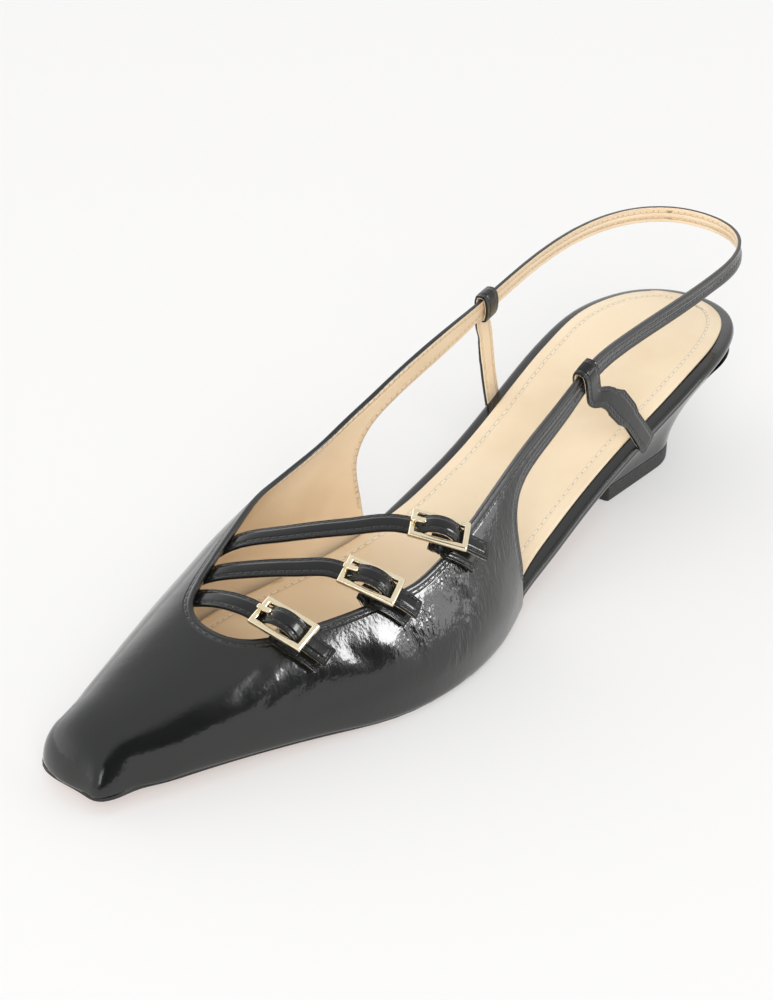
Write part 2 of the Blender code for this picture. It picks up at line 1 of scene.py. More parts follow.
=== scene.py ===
# %% [markdown]
# # Dressing a slingback shoe
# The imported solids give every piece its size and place. This lesson takes a copy of each one, joins
# its loose triangles, smooths it, and gives it the leather, stitching and metal that the real shoe
# has. The solids stay in the file unchanged, because they are what the physics uses.

# %% Load the solids
import math

import bpy
import bmesh
import numpy as np
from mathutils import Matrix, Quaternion, Vector
from mathutils.bvhtree import BVHTree
from mathutils.kdtree import KDTree


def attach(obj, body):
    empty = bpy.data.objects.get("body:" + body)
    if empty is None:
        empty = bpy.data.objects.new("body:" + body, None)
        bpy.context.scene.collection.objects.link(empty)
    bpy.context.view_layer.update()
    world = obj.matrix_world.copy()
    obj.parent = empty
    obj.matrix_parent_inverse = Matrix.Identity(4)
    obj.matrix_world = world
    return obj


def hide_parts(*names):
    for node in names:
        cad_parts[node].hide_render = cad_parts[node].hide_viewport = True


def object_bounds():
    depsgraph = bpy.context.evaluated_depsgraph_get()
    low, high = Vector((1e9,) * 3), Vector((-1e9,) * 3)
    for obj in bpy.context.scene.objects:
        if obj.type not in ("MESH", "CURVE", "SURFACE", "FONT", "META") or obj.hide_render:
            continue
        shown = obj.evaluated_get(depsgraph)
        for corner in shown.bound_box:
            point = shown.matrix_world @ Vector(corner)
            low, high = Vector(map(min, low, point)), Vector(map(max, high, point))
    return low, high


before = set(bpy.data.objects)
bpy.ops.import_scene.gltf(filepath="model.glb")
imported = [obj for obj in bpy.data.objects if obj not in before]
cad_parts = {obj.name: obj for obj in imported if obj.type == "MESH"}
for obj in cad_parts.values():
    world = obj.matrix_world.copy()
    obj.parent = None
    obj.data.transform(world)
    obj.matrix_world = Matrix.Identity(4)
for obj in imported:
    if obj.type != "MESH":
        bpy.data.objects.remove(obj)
cad_low, cad_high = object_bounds()
MM = 0.001
print("solids:", len(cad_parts), "box in mm:", [round(c / MM, 1) for c in cad_high - cad_low])

# %% [markdown]
# ## Camera
# The view is a long lens a little above the toe, on the outer side of the shoe. A point to look at
# and a small roll are easier to read than three angles. The whole shoe is kept in the picture.

# %% Camera
CAMERA_AT = Vector((480.1, 349.5, 372.4)) * MM
LOOK_AT = Vector((0.3, -18.1, 19.3)) * MM
CAMERA_ROLL = math.radians(1.35)
LENS = 93.73

camera_data = bpy.data.cameras.new("camera")
camera_data.sensor_fit = "VERTICAL"
camera_data.sensor_height = 36.0
camera_data.lens = LENS
camera_data.clip_start = 0.01
camera = bpy.data.objects.new("camera", camera_data)
bpy.context.scene.collection.objects.link(camera)
camera.location = CAMERA_AT
turn = (CAMERA_AT - LOOK_AT).to_track_quat("Z", "Y") @ Quaternion((0, 0, 1), CAMERA_ROLL)
camera.rotation_euler = turn.to_euler()
bpy.context.scene.camera = camera
print("camera is", round((CAMERA_AT - LOOK_AT).length, 3), "m from the shoe")

# %% [markdown]
# ## Floor and light
# The shoe stands on pale paper that runs on past the picture, so it reads as a plain studio sweep. A
# little glow in the paper keeps it near white without burning out the light on the shoe.

# %% Floor
PAPER = (0.50, 0.495, 0.49, 1)
PAPER_GLOW = (0.36, 0.36, 0.36, 1)
bpy.ops.object.select_all(action="DESELECT")
bpy.ops.mesh.primitive_plane_add(size=8.0, location=(0, 0, -0.0002))
floor = bpy.context.object
floor.name = "floor"
floor_paint = bpy.data.materials.new("floor_paper")
floor_paint.use_nodes = True
floor_shade = floor_paint.node_tree.nodes["Principled BSDF"]
floor_shade.inputs["Base Color"].default_value = PAPER
floor_shade.inputs["Emission Color"].default_value = PAPER_GLOW
floor_shade.inputs["Emission Strength"].default_value = 1.0
floor_shade.inputs["Roughness"].default_value = 0.9
floor_shade.inputs["Specular IOR Level"].default_value = 0.1
floor.data.materials.append(floor_paint)
print("floor:", floor_paint.name)

# %% [markdown]
# Glossy black leather shows what is around it, so the surround matters more than the lamps. It is
# bright, with a brighter wall on the inner side and one dark corner on the outer side, which leaves the
# deep black along the shoulder of the toe. A small bright patch ahead draws the glint on the toe's corner.

# %% Surround
WALLS = 0.78
BRIGHT_WALL = 1.7
DARK_CORNER = 0.10
GLINT = 3.5
world = bpy.data.worlds.new("studio")
bpy.context.scene.world = world
world.use_nodes = True
sky = world.node_tree
way = sky.nodes.new("ShaderNodeTexCoord")
parts = sky.nodes.new("ShaderNodeSeparateXYZ")
sky.links.new(way.outputs["Generated"], parts.inputs[0])


def region(*steps):
    """A mask of the sky: a product of soft steps, each along one axis."""
    mask = None
    for axis, low, high in steps:
        step = sky.nodes.new("ShaderNodeMapRange")
        step.interpolation_type = "SMOOTHSTEP"
        step.inputs["From Min"].default_value = low
        step.inputs["From Max"].default_value = high
        sky.links.new(parts.outputs[axis], step.inputs["Value"])
        if mask is None:
            mask = step.outputs[0]
            continue
        times = sky.nodes.new("ShaderNodeMath")
        times.operation = "MULTIPLY"
        sky.links.new(mask, times.inputs[0])
        sky.links.new(step.outputs[0], times.inputs[1])
        mask = times.outputs[0]
    return mask


REGIONS = [([("Y", -0.2, -0.9), ("Z", 0.95, 0.35)], BRIGHT_WALL),
           ([("Y", 0.15, 0.50), ("X", -0.22, -0.06), ("Z", 0.92, 0.62)], DARK_CORNER),
           ([("X", 0.62, 0.70), ("Y", 0.20, 0.30), ("Y", 0.60, 0.50), ("Z", 0.15, 0.25),
             ("Z", 0.55, 0.45)], GLINT)]
level = WALLS
for steps, value in REGIONS:
    change = sky.nodes.new("ShaderNodeMix")
    sky.links.new(region(*steps), change.inputs["Factor"])
    if hasattr(level, "links"):
        sky.links.new(level, change.inputs["A"])
    else:
        change.inputs["A"].default_value = level
    change.inputs["B"].default_value = value
    level = change.outputs["Result"]
sky.links.new(level, sky.nodes["Background"].inputs["Color"])
bpy.context.scene.view_settings.view_transform = "Standard"
print("surround:", len(sky.nodes), "nodes")

# %% [markdown]
# Two large soft boxes light the shoe and are kept out of the reflections. Two more are seen only in
# reflections: they draw the window and the paler wall on the side of the vamp.


# %% Soft boxes
def soft_box(name, toward, far, size, power, reflections_only):
    """An area light that faces the shoe from a direction."""
    data = bpy.data.lights.new(name, "AREA")
    data.shape = "RECTANGLE"
    data.size = size[0]
    data.size_y = size[1]
    data.energy = power
    box = bpy.data.objects.new(name, data)
    bpy.context.scene.collection.objects.link(box)
    box.location = Vector(toward).normalized() * far + Vector((0.05, 0, 0.02))
    box.rotation_euler = Vector(toward).to_track_quat("Z", "Y").to_euler()
    box.visible_diffuse = not reflections_only
    return box


for name, toward, power in (("top", (-0.2, 0.2, 1.0), 12), ("front", (0.62, 0.56, 0.55), 105)):
    fill = soft_box(name, toward, 4.0, (2.5, 2.5), power, False)
    fill.visible_glossy = False
soft_box("window", (-0.28, 0.82, 0.50), 1.3, (0.46, 0.58), 16, True)
soft_box("side_wall", (-0.55, 0.82, 0.14), 1.6, (1.0, 0.5), 3.6, True)

# %% [markdown]
# ## Helpers for copies
# A CAD mesh comes in as loose triangles. A copy is merged first, so that neighbouring faces share
# their corners, and then turned back to quads, because a subdivision surface flows much better
# over quads.


# %% Copy a solid
def pick(piece):
    """Make one object the only selected and active one."""
    bpy.ops.object.select_all(action="DESELECT")
    piece.select_set(True)
    bpy.context.view_layer.objects.active = piece


def copy_of(node, name):
    """A merged copy of a solid that stands for it in the picture."""
    piece = bpy.data.objects.new(name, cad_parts[node].data.copy())
    bpy.context.scene.collection.objects.link(piece)
    piece.data.materials.clear()
    pick(piece)
    bpy.ops.object.mode_set(mode="EDIT")
    bpy.ops.mesh.select_all(action="SELECT")
    bpy.ops.mesh.remove_doubles(threshold=0.000002)
    bpy.ops.mesh.select_mode(type="EDGE")
    bpy.ops.mesh.select_all(action="DESELECT")
    bpy.ops.mesh.edges_select_sharp(sharpness=math.radians(55))
    bpy.ops.mesh.mark_sharp()
    bpy.ops.mesh.select_all(action="SELECT")
    bpy.ops.mesh.tris_convert_to_quads(
        face_threshold=math.radians(50), shape_threshold=math.radians(178), sharp=True)
    bpy.ops.mesh.mark_sharp(clear=True)
    bpy.ops.object.mode_set(mode="OBJECT")
    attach(piece, "root")
    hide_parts(node)
    return piece


def sharp_edges(piece, degrees):
    """Numbers of the edges whose two faces meet at more than an angle."""
    form = bmesh.new()
    form.from_mesh(piece.data)
    limit = math.radians(degrees)
    found = [e.index for e in form.edges if len(e.link_faces) == 2 and e.calc_face_angle(0) > limit]
    form.free()
    return found


def crease(piece, edges, value):
    """Hold some edges sharp under a subdivision surface."""
    layer = piece.data.attributes.get("crease_edge")
    layer = layer or piece.data.attributes.new("crease_edge", "FLOAT", "EDGE")
    for e in edges:
        layer.data[e].value = value


def subdivide(piece, levels):
    """Apply a subdivision surface and shade the result smooth."""
    pick(piece)
    bends = piece.modifiers.new("smooth", "SUBSURF")
    bends.levels = levels
    bends.render_levels = levels
    bpy.ops.object.modifier_apply(modifier=bends.name)
    bpy.ops.object.shade_smooth()


def places(piece):
    """Corner positions of a mesh as an array."""
    flat = np.empty(len(piece.data.vertices) * 3)
    piece.data.vertices.foreach_get("co", flat)
    return flat.reshape(-1, 3)


def directions(piece):
    """Corner normals of a mesh as an array."""
    flat = np.empty(len(piece.data.vertices) * 3)
    piece.data.vertices.foreach_get("normal", flat)
    return flat.reshape(-1, 3)


def put(piece, spots):
    """Move the corners of a mesh to new places."""
    piece.data.vertices.foreach_set("co", spots.ravel())
    piece.data.update()


def write(piece, name, values):
    """Store one number for each corner, for materials to read."""
    layer = piece.data.attributes.get(name) or piece.data.attributes.new(name, "FLOAT", "POINT")
    layer.data.foreach_set("value", np.asarray(values, np.float32))


def follow(piece, edges, start):
    """Places along sharp edges from a corner, going straight on until the line closes."""
    spots = places(piece)
    reach = {}
    for e in edges:
        a, b = piece.data.edges[e].vertices
        reach.setdefault(a, []).append(b)
        reach.setdefault(b, []).append(a)
    line = [start, reach[start][0]]
    while line[-1] != start and len(line) < len(edges) + 2:
        ahead = spots[line[-1]] - spots[line[-2]]
        choice = [n for n in reach[line[-1]] if n != line[-2]]
        if not choice:
            break
        gain = [np.dot(spots[n] - spots[line[-1]], ahead) / np.linalg.norm(spots[n] - spots[line[-1]])
                for n in choice]
        line.append(choice[int(np.argmax(gain))])
    return spots[line]


def relax(piece, hold, rounds, push=-0.62):
    """Even out a fine mesh. A push out after each pull in keeps its size; no push lets it round off."""
    spots = places(piece)
    pairs = np.array([e.vertices[:] for e in piece.data.edges])
    count = np.bincount(pairs.ravel(), minlength=len(spots))[:, None]
    for pull in [0.6, push] * rounds:
        near = np.zeros_like(spots)
        for k in range(3):
            near[:, k] = np.bincount(pairs[:, 0], spots[pairs[:, 1], k], len(spots))
            near[:, k] += np.bincount(pairs[:, 1], spots[pairs[:, 0], k], len(spots))
        spots += (near / count - spots) * pull * (1 - hold)[:, None]
    put(piece, spots)


# %% [markdown]
# ## Shared effects
# Two effects come back on several pieces, so each is a node group. Small helpers keep the node code
# short enough to read as sums.


# %% Node helpers
def wire(tree, a, b):
    """Link an output to an input, or set a plain value."""
    if hasattr(a, "links"):
        tree.links.new(a, b)
    else:
        b.default_value = a


def calc(tree, kind, a, b=None, c=None):
    """A math node on two or three values."""
    node = tree.nodes.new("ShaderNodeMath")
    node.operation = kind
    for socket, value in zip(node.inputs, (a, b, c)):
        if value is not None:
            wire(tree, value, socket)
    return node.outputs[0]


def spread(tree, value, low, high, to_low=0.0, to_high=1.0):
    """Map a range of values smoothly to another."""
    node = tree.nodes.new("ShaderNodeMapRange")
    node.interpolation_type = "SMOOTHSTEP"
    wire(tree, value, node.inputs["Value"])
    for name, v in (("From Min", low), ("From Max", high), ("To Min", to_low), ("To Max", to_high)):
        node.inputs[name].default_value = v
    return node.outputs[0]


def group(name, inputs, outputs):
    """An empty node group with named sockets."""
    tree = bpy.data.node_groups.new(name, "ShaderNodeTree")
    for label, kind in inputs:
        tree.interface.new_socket(label, in_out="INPUT", socket_type="NodeSocket" + kind)
    for label, kind in outputs:
        tree.interface.new_socket(label, in_out="OUTPUT", socket_type="NodeSocket" + kind)
    return tree, tree.nodes.new("NodeGroupInput").outputs, tree.nodes.new("NodeGroupOutput").inputs


def noise(tree, place, scale, detail=3.0, rough=0.5, stretch=None):
    """A noise texture, with its place stretched if asked."""
    if stretch:
        mapping = tree.nodes.new("ShaderNodeMapping")
        mapping.inputs["Scale"].default_value = stretch
        wire(tree, place, mapping.inputs["Vector"])
        place = mapping.outputs[0]
    node = tree.nodes.new("ShaderNodeTexNoise")
    wire(tree, place, node.inputs["Vector"])
    node.inputs["Scale"].default_value = scale
    node.inputs["Detail"].default_value = detail
    node.inputs["Roughness"].default_value = rough
    return node.outputs["Fac"]


# %% [markdown]
# The grain group makes the fine pebble and the soft unevenness of leather. Smooth cells are close to
# how a hide looks under a lens.

# %% Grain group
grain, grain_in, grain_out = group(
    "leather_grain", [("Place", "Vector"), ("Cells", "Float")], [("Height", "Float"), ("Patch", "Float")])
cells = grain.nodes.new("ShaderNodeTexVoronoi")
cells.feature = "SMOOTH_F1"
cells.inputs["Smoothness"].default_value = 0.6
grain.links.new(grain_in["Place"], cells.inputs["Vector"])
grain.links.new(grain_in["Cells"], cells.inputs["Scale"])
fine = noise(grain, grain_in["Place"], 2600.0, 2.0)
pebble = calc(grain, "MULTIPLY_ADD", cells.outputs["Distance"], 0.7, calc(grain, "MULTIPLY", fine, 0.3))
grain.links.new(pebble, grain_out["Height"])
grain.links.new(noise(grain, grain_in["Place"], 38.0, 4.0), grain_out["Patch"])
print("grain group:", len(grain.nodes), "nodes")

# %% [markdown]
# The stitch group reads how far a spot is from an edge and how far along it. It answers with the
# thread, the row it lies in and the dents between stitches, so one group serves every seam.

# %% Stitch group
stitch, stitch_in, stitch_out = group(
    "stitch_row", [("Far", "Float"), ("Run", "Float"), ("Inset", "Float"), ("Pitch", "Float")],
    [("Thread", "Float"), ("Row", "Float"), ("Hole", "Float")])
off_line = calc(stitch, "ABSOLUTE", calc(stitch, "SUBTRACT", stitch_in["Far"], stitch_in["Inset"]))
phase = calc(stitch, "FRACT", calc(stitch, "DIVIDE", stitch_in["Run"], stitch_in["Pitch"]))
from_mid = calc(stitch, "ABSOLUTE", calc(stitch, "SUBTRACT", phase, 0.5))
thread = calc(stitch, "MULTIPLY", spread(stitch, off_line, 0.00016, 0.00034, 1.0, 0.0),
              spread(stitch, from_mid, 0.30, 0.40, 1.0, 0.0))
stitch.links.new(thread, stitch_out["Thread"])
stitch.links.new(spread(stitch, off_line, 0.0002, 0.0009, 1.0, 0.0), stitch_out["Row"])
hole = calc(stitch, "MULTIPLY", spread(stitch, off_line, 0.0002, 0.0004, 1.0, 0.0),
            spread(stitch, from_mid, 0.42, 0.47))
stitch.links.new(hole, stitch_out["Hole"])
print("stitch group:", len(stitch.nodes), "nodes")

# %% [markdown]
# ## Finishes
# Every finish starts from the same plain shader. Colours, roughness and heights are then wired in, with
# heights in metres so that they can be compared with the real thing.


# %% Material helpers
def finish(name, rough, metal=0.0, coat=0.0, coat_rough=0.1, shine=0.5):
    """A new material with its shader and object coordinates."""
    made = bpy.data.materials.new(name)
    made.use_nodes = True
    tree = made.node_tree
    shade = tree.nodes["Principled BSDF"]
    shade.inputs["Roughness"].default_value = rough
    shade.inputs["Metallic"].default_value = metal
    shade.inputs["Coat Weight"].default_value = coat
    shade.inputs["Coat Roughness"].default_value = coat_rough
    shade.inputs["Specular IOR Level"].default_value = shine
    place = tree.nodes.new("ShaderNodeTexCoord").outputs["Object"]
    return made, tree, shade, place


def use(tree, shared, **values):
    """Place a shared group in a material."""
    node = tree.nodes.new("ShaderNodeGroup")
    node.node_tree = shared
    for label, value in values.items():
        wire(tree, value, node.inputs[label])
    return node.outputs


def number(tree, name):
    """A number stored on the piece."""
    node = tree.nodes.new("ShaderNodeAttribute")
    node.attribute_name = name
    return node.outputs["Fac"]


def seam(tree, inset, pitch):
    """A row of stitches along the edge that the piece has stored."""
    return use(tree, stitch, Far=number(tree, "edge_far"), Run=number(tree, "edge_run"),
               Inset=inset, Pitch=pitch)


def blend(tree, share, low, high):
    """A mix of two colours."""
    node = tree.nodes.new("ShaderNodeMix")
    node.data_type = "RGBA"
    wire(tree, share, node.inputs["Factor"])
    for socket, colour in ((node.inputs[6], low), (node.inputs[7], high)):
        wire(tree, colour if hasattr(colour, "links") else (*colour, 1.0), socket)
    return node.outputs[2]


def bump(tree, shade, layers):
    """Heights in metres added together and turned into a normal."""
    total = None
    for height, size in layers:
        part = calc(tree, "MULTIPLY", height, size)
        total = part if total is None else calc(tree, "ADD", total, part)
    node = tree.nodes.new("ShaderNodeBump")
    node.inputs["Distance"].default_value = 1.0
    node.inputs["Strength"].default_value = 1.0
    tree.links.new(total, node.inputs["Height"])
    tree.links.new(node.outputs["Normal"], shade.inputs["Normal"])
    tree.links.new(node.outputs["Normal"], shade.inputs["Coat Normal"])


# %% [markdown]
# The outside is black leather with a glossy coat over a fine crinkle. A coat layer over a dark base
# gives the sharp reflection and leaves the softer grain below it. The crinkle is strongest where the
# straps pull, so the upper says in an attribute how much of it there is.

# %% Black leather
BLACK = (0.0045, 0.0054, 0.0047)
THREAD_BLACK = (0.012, 0.012, 0.012)
black_leather, tree, shade, place = finish("black_leather_gloss", 0.2, coat=0.5, coat_rough=0.07, shine=0.4)
pebbles = use(tree, grain, Place=place, Cells=1100.0)
row = seam(tree, 0.0018, 0.0020)
crinkle = number(tree, "crinkle")
fold = noise(tree, place, 300.0, 3.0, 0.55, (1.0, 0.8, 0.34))
fold = calc(tree, "ABSOLUTE", calc(tree, "SUBTRACT", fold, 0.5))
thin = noise(tree, place, 900.0, 2.0, 0.5, (1.0, 0.9, 0.25))
fold = calc(tree, "MULTIPLY_ADD", calc(tree, "ABSOLUTE", calc(tree, "SUBTRACT", thin, 0.5)), 0.25, fold)
wire(tree, blend(tree, row["Thread"], BLACK, THREAD_BLACK), shade.inputs["Base Color"])
dull_edge = spread(tree, number(tree, "edge_far"), 0.0004, 0.0022, 0.25, 0.0)
wire(tree, calc(tree, "ADD", spread(tree, pebbles["Patch"], 0.3, 0.7, 0.16, 0.25), dull_edge),
     shade.inputs["Roughness"])
bump(tree, shade, [(pebbles["Height"], 0.000025), (calc(tree, "MULTIPLY", fold, crinkle), 0.0011),
                   (noise(tree, place, 90.0, 3.0), 0.00012), (row["Thread"], 0.00022),
                   (row["Row"], -0.00016), (row["Hole"], -0.0002)])
print("finish:", black_leather.name, len(tree.nodes), "nodes")

# %% [markdown]
# The lining is thin beige leather. It takes its warm colour mostly from light that bounces about
# inside the shoe, so its own colour is kept a little paler than it looks.

# %% Beige lining
LINING = (0.85, 0.69, 0.49)
LINING_DEEP = (0.78, 0.61, 0.41)
LINING_HOLE_SHADE = (0.46, 0.31, 0.18)
LINING_THREAD = (0.75, 0.6, 0.42)
lining, tree, shade, place = finish("beige_lining", 0.5)
pebbles = use(tree, grain, Place=place, Cells=900.0)
row = seam(tree, 0.0018, 0.0020)
tone = blend(tree, spread(tree, pebbles["Patch"], 0.35, 0.7), LINING, LINING_DEEP)
# Painted shade: the stitch holes are coloured darker, for the shade in the small pits where the thread goes
# in.
tone = blend(tree, row["Hole"], tone, LINING_HOLE_SHADE)
wire(tree, blend(tree, row["Thread"], tone, LINING_THREAD), shade.inputs["Base Color"])
wire(tree, spread(tree, pebbles["Height"], 0.1, 0.6, 0.58, 0.44), shade.inputs["Roughness"])
bump(tree, shade, [(pebbles["Height"], 0.00003), (row["Thread"], 0.00018), (row["Row"], -0.00012)])
print("finish:", lining.name)

# %% [markdown]
# The sock is a firmer, paler leather with a light thread in a row set well in from the edge. The
# thread lies in a shallow groove, which is what makes the row show from far off.

# %% Beige sock
SOCK = (0.80, 0.66, 0.47)
SOCK_DEEP = (0.74, 0.59, 0.40)
SOCK_HOLE_SHADE = (0.50, 0.36, 0.22)
SOCK_THREAD = (0.90, 0.80, 0.64)
sock_leather, tree, shade, place = finish("beige_sock", 0.48)
pebbles = use(tree, grain, Place=place, Cells=950.0)
row = seam(tree, 0.0044, 0.0024)
tone = blend(tree, spread(tree, pebbles["Patch"], 0.35, 0.7), SOCK, SOCK_DEEP)
# Painted shade: the stitch holes are coloured darker, for the shade in the small pits where the thread goes
# in.
tone = blend(tree, row["Hole"], tone, SOCK_HOLE_SHADE)
wire(tree, blend(tree, row["Thread"], tone, SOCK_THREAD), shade.inputs["Base Color"])
wire(tree, spread(tree, pebbles["Height"], 0.1, 0.6, 0.55, 0.42), shade.inputs["Roughness"])
bump(tree, shade, [(pebbles["Height"], 0.00003), (row["Thread"], 0.0002), (row["Row"], -0.00022)])
print("finish:", sock_leather.name)

# %% [markdown]
# A strap is two thin skins sewn together: black on top and beige below, so the cut edge shows a thin
# beige line. How deep a spot lies in the strap picks its colour.

# %% Strap leather
STRAP_THREAD = (0.014, 0.014, 0.014)
strap_leather, tree, shade, place = finish("strap_leather", 0.24, coat=0.25, coat_rough=0.09, shine=0.3)
pebbles = use(tree, grain, Place=place, Cells=1300.0)
row = seam(tree, 0.0009, 0.0021)
under = spread(tree, number(tree, "deep"), -0.00022, -0.00034)
wire(tree, blend(tree, under, blend(tree, row["Thread"], BLACK, STRAP_THREAD), LINING),
     shade.inputs["Base Color"])
wire(tree, spread(tree, pebbles["Patch"], 0.3, 0.7, 0.18, 0.30), shade.inputs["Roughness"])
bump(tree, shade, [(pebbles["Height"], 0.00002), (noise(tree, place, 160.0, 3.0), 0.00012),
                   (row["Thread"], 0.00012), (row["Row"], -0.00016), (row["Hole"], -0.00012)])
print("finish:", strap_leather.name)

# %% [markdown]
# The frames are plated zinc in a pale gold. A polished metal needs almost no texture: faint wear in
# its roughness is enough to break up the reflections.

# %% Pale gold
GOLD = (0.95, 0.84, 0.61)
GOLD_WORN = (0.90, 0.77, 0.53)
pale_gold, tree, shade, place = finish("pale_gold_plate", 0.16, metal=1.0)
wear = noise(tree, place, 420.0, 3.0)
wire(tree, blend(tree, spread(tree, wear, 0.4, 0.7), GOLD, GOLD_WORN), shade.inputs["Base Color"])
wire(tree, spread(tree, wear, 0.35, 0.75, 0.13, 0.26), shade.inputs["Roughness"])
bump(tree, shade, [(wear, 0.00001)])
print("finish:", pale_gold.name)

# %% [markdown]
# The tread is plain tan leather with fibres along the shoe, its cut edge is inked black, and the heel
# stands on a tip of dull rubber. Each has only the one texture that can be seen on it.

# %% Sole and rubber
TAN = (0.50, 0.30, 0.19)
TAN_DARK = (0.40, 0.22, 0.13)
INK = (0.006, 0.006, 0.006)
INK_WORN = (0.02, 0.018, 0.017)
RUBBER = (0.012, 0.012, 0.012)
RUBBER_DUSTY = (0.03, 0.03, 0.03)
tan_sole, tree, shade, place = finish("tan_sole_leather", 0.45)
fibre = noise(tree, place, 300.0, 5.0, 0.6, (0.25, 1.0, 1.0))
wire(tree, blend(tree, spread(tree, fibre, 0.35, 0.7), TAN, TAN_DARK), shade.inputs["Base Color"])
wire(tree, spread(tree, fibre, 0.3, 0.7, 0.38, 0.55), shade.inputs["Roughness"])
bump(tree, shade, [(fibre, 0.00004)])
black_edge, tree, shade, place = finish("black_sole_edge", 0.32)
wire(tree, blend(tree, noise(tree, place, 500.0), INK, INK_WORN), shade.inputs["Base Color"])
wire(tree, spread(tree, noise(tree, place, 900.0), 0.3, 0.7, 0.25, 0.42), shade.inputs["Roughness"])
bump(tree, shade, [(noise(tree, place, 700.0, 3.0, 0.6, (0.2, 0.2, 1.0)), 0.00005)])
rubber, tree, shade, place = finish("black_heel_rubber", 0.6)
speck = noise(tree, place, 1200.0)
wire(tree, blend(tree, speck, RUBBER, RUBBER_DUSTY), shade.inputs["Base Color"])
wire(tree, spread(tree, speck, 0.3, 0.7, 0.5, 0.7), shade.inputs["Roughness"])
bump(tree, shade, [(speck, 0.00005)])
print("finishes:", len(bpy.data.materials))

# %% [markdown]
# ## Upper
# The vamp, the quarters and the band round the heel are one skin of leather with a thin lining. The
# copy is subdivided twice, with its cut edges held. The lines along its upper and lower edges are
# followed first, because the seams are measured from them.

# %% Upper
upper = copy_of("upper", "upper_leather")
rim = sharp_edges(upper, 55)
crease(upper, rim, 0.75)
corners = places(upper)
on_rim = sorted({v for e in rim for v in upper.data.edges[e].vertices})
back_end = [v for v in on_rim if corners[v, 0] < cad_low.x + 0.005]
top_line = follow(upper, rim, max(back_end, key=lambda v: corners[v, 2]))
low_line = follow(upper, rim, min(back_end, key=lambda v: corners[v, 2]))
subdivide(upper, 2)
print("upper:", len(upper.data.polygons), "faces; top line", len(top_line), "low line", len(low_line))

# %% [markdown]
# The band round the heel is narrower than the solid, which keeps a simple even height. It is slimmed
# about its own middle line, from the quarters back, and the loops that hold it are slimmed with it.


# %% Slim the band
SLIM = 0.30


def lengths(line):
    """Distance along a line at each of its points."""
    return np.r_[0, np.cumsum(np.linalg.norm(np.diff(line, axis=0), axis=1))]


def dense(line, step=0.0004):
    """A line with points close together, and the distance along it."""
    length = lengths(line)
    at = np.arange(0, length[-1], step)
    return np.stack([np.interp(at, length, line[:, k]) for k in range(3)], -1), at


def nearest(points, targets):
    """Number of the nearest target for each point, and its distance."""
    tree = KDTree(len(targets))
    for k, spot in enumerate(targets):
        tree.insert(spot, k)
    tree.balance()
    found = [tree.find(p) for p in points]
    return np.array([f[1] for f in found]), np.array([f[2] for f in found])


def along_lines(points, lines):
    """For each point: distance to the nearest of some lines, and how far along the line that is."""
    close = [dense(line) for line in lines]
    which, gap = nearest(points, np.vstack([c[0] for c in close]))
    return gap, np.hstack([c[1] for c in close])[which]


def slim(points):
    """Draw places on the band towards the middle between its two edges."""
    top = dense(top_line)[0]
    low = dense(low_line)[0]
    middle = (top[nearest(points, top)[0]] + low[nearest(points, low)[0]]) / 2
    back = np.clip(-points[:, 0] / 0.055, 0, 1)
    high = np.clip((points[:, 2] - 0.036) / 0.006, 0, 1)
    share = SLIM * back * back * (3 - 2 * back) * high
    return points + (middle - points) * share[:, None]


put(upper, slim(places(upper)))
slim_top, slim_low = slim(top_line), slim(low_line)
print("band height at the back mm:", round((slim_top[0] - slim_low[0])[2] / MM, 2))

# %% [markdown]
# The cut edges are sewn all the way round, except where the leather is pulled under the sole. Each spot
# gets its distance from the sewn edge and along it. The skin between is then evened out, since the
# solid is made of flat strips.

# %% Upper edges
UNDER_SOLE = 0.014
sewn = [slim_top, slim_low[slim_low[:, 2] > UNDER_SOLE]]
far, run = along_lines(places(upper), sewn)
relax(upper, np.clip(1.2 - far / 0.006, 0.0, 1.0), 30)
write(upper, "edge_far", far)
write(upper, "edge_run", run)
print("sewn edge mm:", round(sum(lengths(line)[-1] for line in sewn) / MM))

# %% [markdown]
# The toe ends in a small square with crisp corners, and the leather is pulled down over the edge of
# the thin sole. The corners are moved in the upper and the sole alike, and the lower edge of
# the upper is drawn down until only a thin line of sole is left.

# %% Toe and lower edge
TOE_PUSHES = [((131.0, 0.6), (1.5, 0.2), 4.4), ((124.0, 6.0), (-0.3, -1.5), 6.0),
              ((128.5, -19.0), (0.3, -1.6), 5.5)]
CALMED = [((119, 4, 16), 12.0), ((128, -6, 14), 8.0)]
PUSH_LEVEL = 0.009
PUSH_FADE = 0.006
DRAWN_DOWN = 0.0011
DRAWN_AT_TOE = 0.0007


def under_vamp(x):
    """Nought at the waist, one from a little ahead of it to the toe."""
    return np.clip((x - 0.004) / 0.01, 0, 1)


def toe_corner(points):
    """Places moved sideways to make the corners of the toe crisper."""
    moved = points.copy()
    for at, push, reach in TOE_PUSHES:
        gap = np.linalg.norm(points[:, :2] - np.array(at) * MM, axis=1) / (reach * MM)
        high = np.maximum(points[:, 2] - PUSH_LEVEL, 0) / PUSH_FADE
        moved[:, :2] += np.exp(-gap ** 2 - high ** 2)[:, None] * np.array(push) * MM
    return moved


below = dense(slim_low[slim_low[:, 2] <= UNDER_SOLE])[0]
spots = places(upper)
calm = np.zeros(len(spots))
for at, reach in CALMED:
    gap = np.linalg.norm(spots - np.array(at) * MM, axis=1) / (reach * MM)
    calm = np.maximum(calm, np.exp(-gap ** 2))
_, gap = nearest(spots, below)
relax(upper, 1 - calm * np.clip(gap / 0.005, 0, 1), 30, 0.0)
spots = toe_corner(places(upper))
_, gap = nearest(spots, below)
drawn = DRAWN_DOWN * under_vamp(spots[:, 0])
drawn += DRAWN_AT_TOE * np.clip((spots[:, 0] - 0.112) / 0.012, 0, 1)
spots[:, 2] -= drawn * np.exp(-(gap / 0.004) ** 2)
put(upper, spots)
print("lower edge drawn down mm:", round(drawn.max() / MM, 2))
